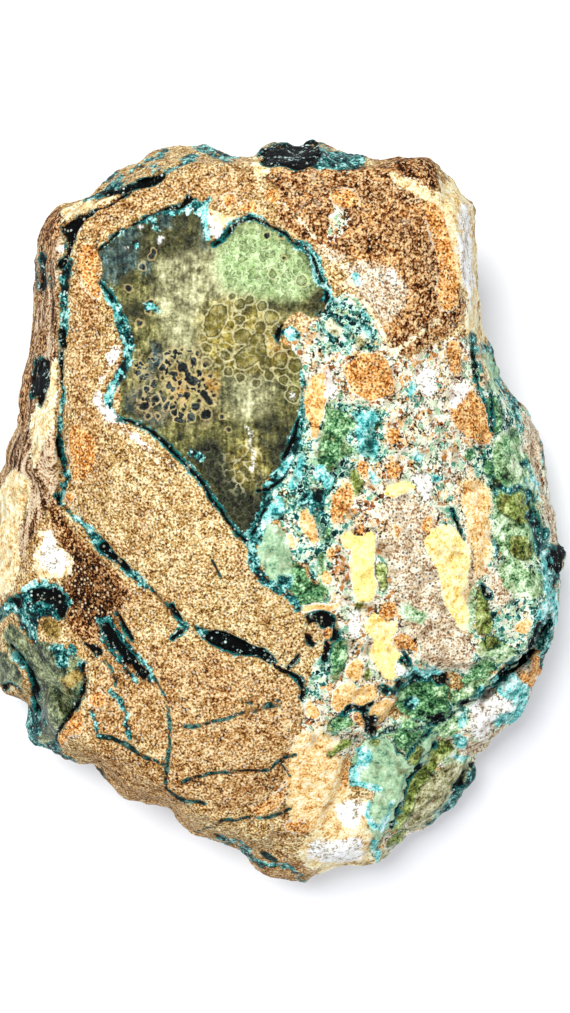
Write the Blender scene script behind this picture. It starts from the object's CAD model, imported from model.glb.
"""Pseudomalachite on quartzite breccia: the dressed stone with its table, lights and camera."""

import itertools
import math
from types import SimpleNamespace

import bpy
import numpy as np
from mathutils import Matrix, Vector
from mathutils.kdtree import KDTree


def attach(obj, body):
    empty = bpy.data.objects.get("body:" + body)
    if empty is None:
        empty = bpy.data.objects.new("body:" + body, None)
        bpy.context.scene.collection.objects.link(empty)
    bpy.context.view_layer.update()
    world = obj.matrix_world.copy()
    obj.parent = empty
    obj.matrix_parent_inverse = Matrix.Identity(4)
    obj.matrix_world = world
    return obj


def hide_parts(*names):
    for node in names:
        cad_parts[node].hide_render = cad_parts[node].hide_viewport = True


MM = 0.001

# The photograph's view
EYE = np.array((3.8, 3.7, 420.0))  # The camera's place, in mm.
PLAN_Z = 35.0  # Height of the plane on which outlines are laid out, in mm.
PIXELS_PER_MM = 3.25  # Photograph pixels per mm on that plane.
PLAN_CENTRE = (272.75, 518.5)  # The pixel of the origin on that plane.
LENS = 44.467
SENSOR = 36.0

# Edge lengths of the stone's mesh, in mm
COARSE_EDGE = 2.6  # All over, before the sides are told apart.
TOP_EDGE = 1.2  # Where the camera looks.
POCKET_EDGE = 0.75
FINEST_EDGE = 0.66  # Along the thin veins.
SIDE_EDGE = 2.2  # Out of the camera's sight.
BASE_EDGE = 7.0  # On the flat resting face.
LONG_ENOUGH = 1.35  # An edge is halved when it is this many times the wanted length.
MOST_ROUNDS = 9

BASE_BAND = 0.3  # Points lower than this, in mm, belong to the resting face and stay there.
LEAST_HEIGHT = 0.05  # No other point comes closer to the table, in mm.
FAR = 16.0  # Pixels outside an outline beyond which its distance isn't wanted.

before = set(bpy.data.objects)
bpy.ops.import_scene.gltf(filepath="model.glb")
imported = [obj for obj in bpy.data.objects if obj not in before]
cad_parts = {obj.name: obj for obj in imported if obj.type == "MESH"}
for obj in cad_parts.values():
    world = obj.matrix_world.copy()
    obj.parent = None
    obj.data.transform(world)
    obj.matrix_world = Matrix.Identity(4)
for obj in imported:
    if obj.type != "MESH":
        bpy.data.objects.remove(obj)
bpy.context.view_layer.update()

# ----------------------------------------------------------------------------------------------
# Outlines, in pixels of the 570 x 1013 photograph: "u,v u,v ..." round an area, and
# "u,v,half width ..." along a line. A semicolon ends each one, except the pocket's only
# outline, which the mesh reads too.

POCKET = """
    96,252 104,246 112,238 120,230 130,227 140,222 148,217 156,212 166,210 176,209 184,205 188,198
    196,198 200,208 206,203 207,215 208,225 209,235 211,244 220,240 226,233 230,227 238,223
    246,219 256,219 262,222 268,226 278,230 286,235 292,243 300,244 308,250 313,258 316,268
    320,280 326,288 330,298 326,306 322,314 314,318 306,316 300,312 290,315 280,325 277,335
    279,341 285,345 292,350 300,357 303,366 301,375 304,385 302,400 302,410 298,424 293,437
    290,445 284,454 282,462 277,471 268,478 260,488 268,498 264,512 258,525 252,535 246,540
    238,536 232,530 226,518 218,507 210,497 205,486 196,475 186,464 178,458 172,448 162,440
    150,430 140,425 128,421 118,420 119,412 120,400 120,390 121,380 124,372 128,362 130,350
    133,345 130,340 128,332 124,326 119,318 116,308 113,300 110,290 104,284 100,281 103,272
    101,262
"""

AREAS = {
    "pocket": POCKET,
    "pocket_mint": """
    218,250 228,238 240,230 256,226 270,232 284,240 294,250 304,256 310,268 314,282 310,292
    300,298 284,298 270,297 255,296 240,293 226,286 218,270;
    """,
    "pocket_gold": """
    205,305 225,300 250,305 262,312 280,315 276,330 278,342 290,352 298,362 285,372 262,372
    240,376 225,372 214,380 204,370 200,345 198,322;
    228,455 250,440 262,450 262,470 252,488 236,490 226,475;
    """,
    "pocket_dark": """
    268,452 272,444 280,436 290,433 292,440 284,452 276,462 270,460;
    260,420 272,418 272,432 262,434;
    280,326 290,322 300,324 298,332 288,334 282,337;
    222,500 235,497 250,497 262,492 268,500 262,506 250,504 238,507 226,510;
    200,440 215,436 226,452 232,472 226,496 212,490 200,470 186,458;
    130,398 146,392 160,396 160,412 148,420 134,418;
    205,470 235,474 262,502 284,474 298,432 300,425 294,455 285,492 270,520 252,545 236,528
    216,500;
    """,
    "pocket_blue": """
    98,252 112,240 118,236 112,262 110,284 103,281 104,270;
    200,222 206,222 209,238 209,250 202,250;
    150,340 162,342 164,366 156,372 154,388 146,388 148,370 152,356;
    122,228 136,226 140,236 128,246 122,240;
    142,264 152,262 152,276 144,278;
    108,250 120,238 134,234 140,250 132,268 116,284 108,270;
    124,396 140,386 160,396 172,414 160,428 142,420 126,410;
    158,210 176,208 172,226 158,228;
    """,
    "pocket_haze": """
    158,262 176,258 196,262 206,280 200,310 186,322 168,318 156,300;
    165,330 200,330 200,352 176,360 164,350;
    225,376 262,376 275,392 268,414 240,418 224,404;
    200,236 222,232 232,262 236,292 214,302 200,282;
    170,240 196,232 206,250 208,300 200,340 180,350 166,340 158,300 160,262;
    """,
    "pocket_brown": """
    116,246 126,232 140,246 142,262 128,280 116,290 112,270;
    126,298 146,296 144,322 128,322 120,306;
    170,222 198,216 202,236 198,256 180,250 170,240;
    262,412 296,412 292,432 276,434 262,420;
    112,246 140,222 160,214 190,206 202,214 200,240 176,258 150,262 126,290 114,284;
    262,308 266,304 274,303 282,304 290,303 298,304 304,303 312,300 316,294 320,289 326,288
    330,298 326,308 320,316 312,318 304,314 296,312 284,311 272,310;
    """,
    "pocket_amber": """
    270,339 279,342 288,350 290,358 282,354 274,352 268,346;
    204,374 214,376 219,388 216,398 208,390 203,382;
    240,507 262,505 258,520 250,526 240,520;
    178,366 190,390 184,402 176,396 172,380;
    """,
    "pocket_pits": """
    134,352 160,345 176,350 198,345 214,372 218,398 210,422 190,428 165,424 148,418 134,405
    128,380;
    """,
    "umber": """
    170,640 300,690 300,760 290,800 230,815 170,800 150,740 130,690 120,650;
    78,240 98,250 98,310 104,330 96,360 90,400 100,430 104,480 78,490 72,400 72,300;
    90,205 130,190 180,175 240,165 262,190 240,205 215,205 180,200 130,215 100,240 90,240;
    90,742 130,745 170,770 200,830 250,850 300,862 300,890 240,880 180,845 130,820 90,780;
    84,560 130,580 140,640 160,660 150,740 80,740 90,690 100,660 80,640 70,600;
    """,
    "grit": """
    250,168 265,170 300,168 340,168 372,160 392,160 432,158 438,178 433,193 420,190 410,185
    398,178 390,172 392,182 402,190 415,196 430,204 436,222 442,238 448,255 454,272 460,285
    462,300 463,320 455,332 440,338 425,345 415,352 403,358 396,348 388,338 378,328 368,318
    372,305 366,292 360,275 352,262 345,258 335,252 325,246 310,242 296,236 284,226 275,215
    280,200 278,188 262,178;
    """,
    "brown": """
    47,505 60,508 72,530 88,545 100,556 118,575 128,590 120,612 112,625 118,640 100,640 85,640
    70,630 66,600 62,585 72,570 78,560 66,552 58,540 52,525;
    37,240 45,215 60,206 75,215 62,228 55,245 50,262 44,280 40,300 34,310 34,275;
    22,375 32,360 30,400 26,430 18,430 20,395;
    36,330 48,332 46,350 36,352;
    365,505 375,505 383,512 385,520 375,524 368,528 358,526 362,515;
    395,160 432,158 438,175 436,190 428,188 418,182 408,178 398,170;
    418,282 440,280 455,285 460,300 462,318 440,325 425,320 418,300;
    392,335 420,330 440,335 425,345 412,352 402,358;
    """,
    "orange": """
    70,420 85,430 96,440 98,455 90,475 78,482 70,475;
    65,490 75,492 74,508 66,500;
    85,240 98,250 98,280 104,295 92,300 82,280 78,260;
    222,193 236,193 235,210 224,208;
    240,202 258,201 258,212 242,214;
    262,190 280,190 280,203 265,203;
    343,372 348,362 357,355 370,352 381,353 387,362 394,374 396,386 391,396 380,399 368,401
    352,393 347,382;
    385,432 395,427 402,432 400,445 390,446;
    330,512 333,495 340,485 350,482 354,492 353,505 346,516 338,524 332,522;
    358,462 365,460 369,466 367,476 362,478 357,470;
    371,440 375,437 379,441 378,447 374,450;
    450,405 462,392 472,388 478,396 484,410 490,425 492,440 484,448 470,440 460,430 452,418;
    445,340 460,342 462,362 460,378 448,370 445,355;
    385,462 398,460 402,472 395,480 386,474;
    328,548 335,548 336,558 331,563 327,556;
    353,527 366,526 366,534 357,537;
    422,518 432,516 434,526 428,536 421,530;
    393,525 400,525 401,536 395,538;
    378,608 388,600 398,605 398,615 390,622 380,618;
    390,640 398,632 408,634 416,644 417,654 408,650 398,652;
    322,626 331,624 334,634 330,645 324,642;
    326,683 331,681 332,689 327,691;
    352,712 364,711 367,725 360,727 354,720;
    533,648 545,652 543,665 538,675 531,690 530,672 532,660;
    519,672 527,670 532,682 527,692 520,685;
    340,762 350,762 349,790 341,785;
    250,805 270,800 280,790 285,780 288,790 280,805 265,815 252,815;
    285,822 305,820 312,830 300,836 285,832;
    90,692 104,690 108,702 98,710 88,703;
    62,725 70,712 82,708 85,720 80,735 68,742 60,738;
    270,340 288,340 288,355 270,355;
    425,200 440,205 450,232 456,262 460,300 448,316 436,300 440,270 432,240 424,218;
    330,190 352,188 362,200 350,212 332,204;
    """,
    "lemon": """
    345,534 352,531 355,536 363,537 370,531 375,534 375,546 373,560 372,575 376,585 373,600
    357,602 354,590 352,575 351,560 353,550 346,546;
    372,640 380,638 388,652 396,664 402,668 396,676 389,678 383,670 376,656;
    380,488 390,484 404,483 412,485 404,490 392,492;
    384,655 396,650 404,662 402,672 392,678 386,668;
    """,
    "yellow": """
    343,533 352,530 354,536 362,537 370,530 376,533 376,546 374,560 373,575 377,585 374,601
    356,603 353,590 351,575 350,560 352,550 345,548 342,540;
    364,622 375,612 388,622 398,620 396,630 392,640 398,652 406,662 404,670 396,678 389,680
    382,676 376,666 370,655 374,640 366,632;
    430,531 440,525 450,525 459,533 464,541 470,552 471,566 466,576 468,584 462,594 468,606
    470,620 466,630 457,627 450,612 444,603 441,590 438,572 432,560 427,549 424,540;
    382,494 386,487 395,483 405,481 416,485 412,491 402,494 392,498;
    """,
    "ochre": """
    304,388 312,376 324,372 331,382 330,396 325,408 320,425 318,438 312,439 311,425 305,413
    302,400;
    300,512 306,508 313,515 317,530 318,540 312,545 306,535 300,525;
    287,534 292,534 296,545 293,550 288,543;
    321,572 328,570 333,578 330,586 323,583;
    333,690 341,684 349,681 356,685 353,695 352,703 344,709 336,712 331,705;
    347,664 357,658 364,664 362,672 360,680 352,681 345,674;
    355,692 364,684 373,685 378,696 372,703 362,707 353,704;
    368,712 376,703 386,699 394,702 394,711 387,718 378,720 370,718;
    304,706 310,699 315,706 320,712 316,719 308,717;
    512,630 518,622 526,617 533,620 531,630 524,634;
    302,606 318,604 332,605 338,602 340,606 330,612 316,609 303,612;
    378,640 386,650 392,668 386,672 378,660 372,648;
    """,
    "cream": """
    389,172 400,174 413,180 426,188 434,194 440,187 437,170 446,178 458,184 472,200 479,206
    480,270 483,320 486,338 476,345 468,340 464,322 462,300 459,285 453,271 448,255 442,240
    437,224 435,212 425,201 411,193 398,186;
    300,732 320,730 334,736 340,745 335,752 325,757 345,757 350,765 350,790 349,800 362,800
    372,795 372,815 366,830 380,835 372,850 370,862 335,870 305,868 300,855 300,842 312,832
    290,820 285,800 290,785 292,765 296,745;
    0,490 15,470 28,480 30,500 20,530 20,560 10,590 -16,600 -12,540 -6,490;
    38,532 50,530 58,545 75,560 72,572 60,578 48,580 38,578 32,565 36,548;
    35,405 48,400 50,430 40,450 32,470 28,460 32,430;
    52,360 58,360 56,400 52,430 48,420 50,390;
    60,208 90,205 110,195 120,196 100,206 80,215 62,222;
    480,350 490,352 498,370 500,390 490,395 482,380;
    215,215 225,212 240,216 228,224 218,232 212,232 209,220;
    250,160 272,162 270,175 255,178;
    """,
    "white": """
    208,215 216,222 222,230 218,237 212,238 209,228;
    40,534 50,532 58,546 70,560 66,570 56,574 46,572 40,560;
    418,368 430,366 436,378 434,395 424,398 416,388;
    455,385 466,380 471,388 462,396 458,404 450,408 452,395;
    412,472 424,470 430,480 434,490 430,505 422,500 418,488 410,480;
    350,612 358,608 362,625 356,640 350,635;
    395,662 405,664 404,672 396,678 392,670;
    470,702 480,692 490,688 498,695 505,702 515,700 510,712 498,714 490,725 480,738 470,732
    472,718;
    325,370 335,370 335,400 325,400;
    340,800 365,800 362,822 350,830 335,815;
    305,840 340,840 362,838 368,850 340,866 310,860;
    385,270 394,266 398,280 388,284;
    112,346 119,344 119,356 113,364 106,368 108,356;
    95,391 101,388 102,402 112,411 124,423 116,425 104,416 94,404;
    460,206 470,204 474,240 476,290 472,318 464,300 461,260 457,230;
    """,
    "groundmass": """
    330,300 345,292 362,300 378,325 395,350 405,360 430,345 462,335 478,345 484,380 492,440
    500,480 500,560 520,600 545,620 536,640 520,655 500,668 480,685 450,670 420,668 395,682
    380,695 365,705 335,735 305,730 302,700 315,660 340,640 335,605 300,605 325,600 322,584
    310,580 308,565 293,560 285,530 275,515 270,500 262,490 272,478 288,452 300,424 304,398
    302,364 290,348 300,330 318,318;
    330,215 345,205 350,225 340,235 335,250 328,240;
    480,335 492,355 510,395 540,425 550,470 560,520 566,560 560,610 552,650 530,700 505,730
    480,760 474,790 450,812 420,835 385,860 375,860 385,830 400,800 400,780 398,740 410,720
    450,700 480,690 510,665 545,625 520,600 500,560 500,480 492,440 484,380 478,345;
    300,722 335,712 365,705 385,715 400,722 400,745 392,742 380,736 368,738 356,745 350,760
    340,762 325,750 300,745;
    336,206 346,202 350,222 342,236 334,228;
    """,
    "moss": """
    488,380 500,392 512,408 522,425 528,450 532,480 530,495 515,488 500,484 494,460 490,430
    486,405;
    500,560 545,560 560,600 552,650 535,668 515,668 505,690 480,690 455,690 440,668 470,660
    490,640 496,600;
    395,672 450,668 470,690 462,720 430,740 400,745 390,715;
    262,500 300,500 318,520 320,560 330,600 300,608 280,592 262,580 254,550 256,520;
    300,612 335,608 342,640 330,690 318,700 305,690 298,660 300,635;
    318,300 345,292 372,310 378,345 350,355 320,345;
    320,400 352,405 385,415 385,460 350,480 320,480 300,500 285,470 300,430;
    268,505 290,470 304,440 308,400 322,400 325,440 318,480 304,500 290,520 270,540;
    266,500 288,452 304,420 330,400 352,420 345,470 352,520 330,560 312,600 284,600 258,560
    262,530;
    472,420 505,430 530,470 540,540 545,620 520,640 490,560 480,500;
    """,
    "strata": """
    36,215 62,212 60,260 58,330 56,420 58,505 42,512 34,532 20,565 -12,600 -18,540 0,480 15,430
    20,380 32,300 30,250;
    """,
    "pinkish": """
    383,500 410,497 432,508 428,535 424,545 432,562 438,580 441,600 450,615 462,632 470,635
    472,650 470,668 440,668 420,662 418,640 405,620 398,600 392,575 388,560 378,545 383,520;
    464,542 472,548 476,570 480,580 470,584 468,570;
    490,570 512,572 512,600 500,610 490,600;
    521,425 530,420 540,430 545,450 545,480 548,500 556,520 560,545 550,545 545,520 540,500
    535,485 530,465 524,445;
    460,750 475,742 488,738 505,728 503,735 492,745 478,753 465,756;
    340,266 362,262 384,266 400,276 408,292 402,308 390,320 376,318 362,300 348,285;
    318,246 334,250 346,262 330,262;
    """,
    "mint": """
    262,520 275,526 286,531 289,545 291,558 293,570 290,582 283,591 272,586 265,575 261,562
    257,548 257,535;
    484,352 492,355 498,372 497,395 487,392;
    352,760 360,745 370,738 384,736 392,741 397,750 406,757 416,747 428,735 436,730 437,738
    430,750 424,762 412,768 406,776 403,790 404,800 400,806 395,816 388,828 380,835 374,860
    370,850 376,838 366,826 368,810 374,795 380,790 360,785 352,780 350,765;
    """,
    "olive": """
    497,492 505,494 515,492 527,491 531,500 530,512 528,522 520,523 512,518 505,515 498,508;
    512,536 520,535 527,540 530,550 533,556 525,560 515,557 509,550 509,543;
    478,586 482,585 484,597 489,600 489,612 493,622 492,633 485,636 477,632 475,620 477,605;
    362,682 366,666 370,667 372,678;
    337,744 344,737 351,741 344,749 336,753 329,759 326,757 332,750;
    376,563 383,562 388,568 386,578 388,588 382,592 377,580;
    354,603 364,602 366,608 358,611;
    350,470 357,468 362,478 362,492 355,497 351,485;
    328,722 336,715 346,715 351,718 356,724 345,729 334,730 328,732;
    492,478 500,479 503,487 495,489;
    483,640 495,636 500,645 490,650;
    370,418 377,418 379,428 374,431;
    436,744 444,740 452,742 453,752 446,756 440,762 434,770 428,780 416,790 414,804 408,822
    398,832 390,830 396,818 403,806 405,790 407,780 416,769 425,764 432,752;
    410,750 420,744 424,752 420,764 412,766 408,760;
    376,683 388,688 396,690 390,695 380,693;
    398,832 408,826 406,840 396,844 384,848 390,838;
    372,738 380,741 378,747 370,745;
    """,
    "green": """
    331,408 337,409 345,413 352,419 360,424 352,430 344,434 341,441 348,447 357,448 352,455
    342,458 336,462 333,470 326,472 320,468 317,458 320,448 323,438 327,425 329,415;
    293,562 305,565 307,575 311,582 322,584 324,595 322,603 302,605 295,600 290,592 288,582
    292,572;
    333,645 337,638 344,640 347,650 346,660 342,668 340,676 336,682 331,680 332,670 331,660
    331,650;
    400,722 415,722 420,732 412,742 402,742 396,735;
    487,402 494,399 500,405 501,420 500,432 494,436 490,425 487,412;
    485,462 492,460 494,470 491,478 486,475;
    503,440 510,430 518,440 517,452 508,455;
    452,510 457,517 461,530 463,540 460,537 456,526 451,516;
    324,528 332,528 329,538 324,540;
    320,555 325,545 324,560 318,566;
    464,449 472,450 474,458 468,462 463,456;
    537,571 545,571 545,578 537,578;
    397,684 404,675 412,670 424,676 436,678 447,682 449,692 447,702 450,710 442,718 428,722
    412,718 402,714 398,704;
    474,668 484,656 494,660 498,668 490,676 478,680 468,684 460,686 462,678;
    398,733 408,735 410,745 402,750 395,744;
    330,722 336,716 348,716 352,722 344,730 334,731;
    500,478 510,472 514,480 506,487;
    485,400 494,396 500,404 501,420 498,430 490,428 487,412;
    """,
    "glass": """
    4,632 14,626 24,636 32,646 38,640 50,642 60,648 72,652 80,655 84,668 84,690 76,700 70,714
    62,728 56,742 50,748 42,738 38,716 36,700 34,684 28,672 18,660 8,648;
    0,650 8,652 16,664 22,676 24,692 10,690 0,684 -10,668;
    """,
    "teal": """
    530,500 540,520 545,545 540,560 530,545 526,525;
    538,636 552,636 552,665 538,665;
    270,500 285,500 285,520 270,520;
    278,575 292,575 292,590 278,590;
    310,488 325,488 325,515 310,515;
    470,768 478,772 476,782 465,792 458,800 452,808 447,812 440,818 436,825 426,825 433,816
    440,806 448,798 452,789 462,782 468,774;
    396,680 412,670 430,672 446,678 446,684 420,680 404,686;
    404,700 414,696 418,704 412,712 405,708;
    374,686 384,684 392,690 398,690 396,696 384,694;
    548,542 560,545 566,560 560,575 562,600 556,628 546,640 540,630 548,610 546,580 544,560;
    350,765 358,762 362,770 356,784 350,782;
    0,606 10,598 20,588 30,583 45,580 58,584 66,594 72,602 66,612 60,622 50,616 40,618 36,630
    36,642 28,638 22,626 14,616 6,618 0,624 -10,618;
    54,644 66,646 70,656 66,672 60,668 54,656;
    68,642 78,646 78,656 70,654;
    28,712 40,712 44,724 42,732 40,744 58,738 62,750 70,752 78,760 60,760 34,752 26,742 24,728;
    256,528 264,516 268,524 262,540 256,548;
    298,500 306,490 312,500 304,512;
    308,150 322,147 340,151 356,157 367,163 356,169 336,170 318,168 306,164;
    """,
    "cyan": """
    350,412 375,410 380,420 372,432 380,445 377,458 362,458 356,450 360,442 352,432 360,425
    352,418;
    320,476 332,472 336,480 330,492 322,488;
    270,500 284,500 284,518 272,520;
    285,332 297,332 297,342 285,342;
    451,737 456,732 464,734 468,740 462,746 454,746;
    458,714 464,710 466,722 462,728 458,726;
    495,678 512,672 522,682 530,698 522,712 510,722 499,722 503,708 512,698 500,692 490,690;
    450,756 464,754 472,757 464,761 452,760;
    412,668 424,672 432,670 440,672 446,678 430,676 418,674;
    354,748 364,746 372,752 374,760 362,772 354,768 358,758;
    476,688 484,684 486,700 480,708 476,700;
    541,548 550,556 552,575 556,600 552,615 546,600 544,575;
    520,462 528,468 536,480 540,492 532,490 524,478;
    262,512 274,500 284,496 280,510 268,522 262,534;
    286,488 296,470 300,452 306,452 304,474 294,492;
    312,470 322,462 328,474 320,486;
    """,
    "black": """
    62,228 72,220 80,218 84,222 76,232 74,242 72,252 68,262 62,268 56,268 58,262 66,255 68,245
    64,235;
    100,624 108,622 114,630 122,641 127,648 134,656 142,667 149,673 144,680 136,676 130,668
    122,662 118,652 110,648 106,638;
    82,640 92,644 100,648 102,656 96,656 88,648;
    552,548 560,546 568,552 565,562 560,570 552,568 550,558;
    38,358 49,360 49,385 46,400 40,408 34,400 32,386 36,370;
    37,255 48,257 49,290 42,297 35,290;
    306,616 314,613 322,615 330,619 334,616 337,626 328,624 318,622 308,626;
    304,630 310,634 316,644 312,648 306,642;
    326,640 332,645 330,652 326,662 322,668 322,654;
    395,680 400,680 400,690 395,690;
    440,672 448,672 448,680 440,680;
    370,715 377,715 377,735 370,735;
    540,622 545,626 541,638 536,644 535,652 530,660 520,668 510,672 502,679 497,681 503,671
    512,664 521,659 528,650 530,642 534,632;
    258,158 262,150 268,143 280,141 290,144 297,142 310,141 318,142 318,145 318,150 318,156
    318,160 318,161 310,166 298,170 285,166 268,166 260,164;
    318,612 328,612 336,618 332,628 322,628 316,620;
    334,626 340,630 338,640 332,642;
    365,720 372,720 376,728 372,736 366,728;
    432,676 446,676 448,684 436,684;
    424,716 440,712 448,716 436,722;
    548,546 558,548 566,546 568,556 560,566 552,566 548,556;
    30,590 42,587 56,589 66,597 62,606 50,603 40,600 30,603;
    10,596 18,597 20,606 12,607;
    57,603 67,606 66,620 58,615;
    """,
    "sage": """
    400,715 412,722 430,724 448,719 458,708 464,712 462,728 452,736 440,738 430,736 420,744
    408,756 398,750 394,740 384,735 372,738 372,730 390,728 398,722;
    452,744 456,752 470,756 472,764 462,768 448,764 440,766 446,756;
    448,690 470,684 480,676 496,672 500,680 486,690 470,700 456,708 448,702;
    500,560 520,565 545,575 552,590 540,600 520,596 505,590 498,575;
    470,590 477,583 477,600 475,625 470,640 466,620;
    484,352 492,355 498,372 500,392 494,398 488,388;
    500,440 506,428 516,440 520,455 526,470 515,480 505,470;
    520,530 535,525 542,545 535,560 524,556;
    476,640 500,640 520,650 505,665 485,660 476,652;
    320,560 330,570 333,590 325,600 318,590;
    398,605 410,602 420,612 428,610 425,625 410,622 400,618;
    494,430 520,430 534,478 545,530 541,560 520,566 500,560 493,520 492,480;
    322,402 332,404 350,418 350,430 340,446 346,456 334,466 322,470 316,452 322,430;
    """,
    "khaki": """
    424,782 434,772 446,764 456,766 470,762 471,772 466,780 458,787 450,792 446,800 436,812
    430,822 415,828 408,824 412,806 418,792;
    376,850 388,846 387,856 378,862 372,860;
    480,585 489,600 491,620 486,632 478,628 477,605;
    322,322 334,318 344,326 340,336 328,334;
    352,338 362,334 368,344 358,350;
    """,
    "sand": """
    292,745 300,732 318,728 332,740 338,756 351,764 350,790 340,800 332,820 314,832 300,832
    290,805 285,780;
    462,483 470,480 482,480 489,488 491,500 490,515 493,530 492,545 489,560 484,574 477,580
    472,570 474,556 470,548 466,530 463,515 461,500;
    450,556 462,562 471,590 471,614 462,622 455,602 447,580;
    """,
    "amber": """
    40,622 48,616 57,621 61,632 57,642 50,636 44,630;
    62,682 70,673 82,668 85,676 76,683 68,690;
    """,
    "soot": """
    70,562 84,560 100,566 114,580 122,596 112,612 116,624 100,632 92,622 76,616 66,604 64,590
    70,576;
    66,556 80,548 98,556 108,566 96,572 76,570;
    """,
}

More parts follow.
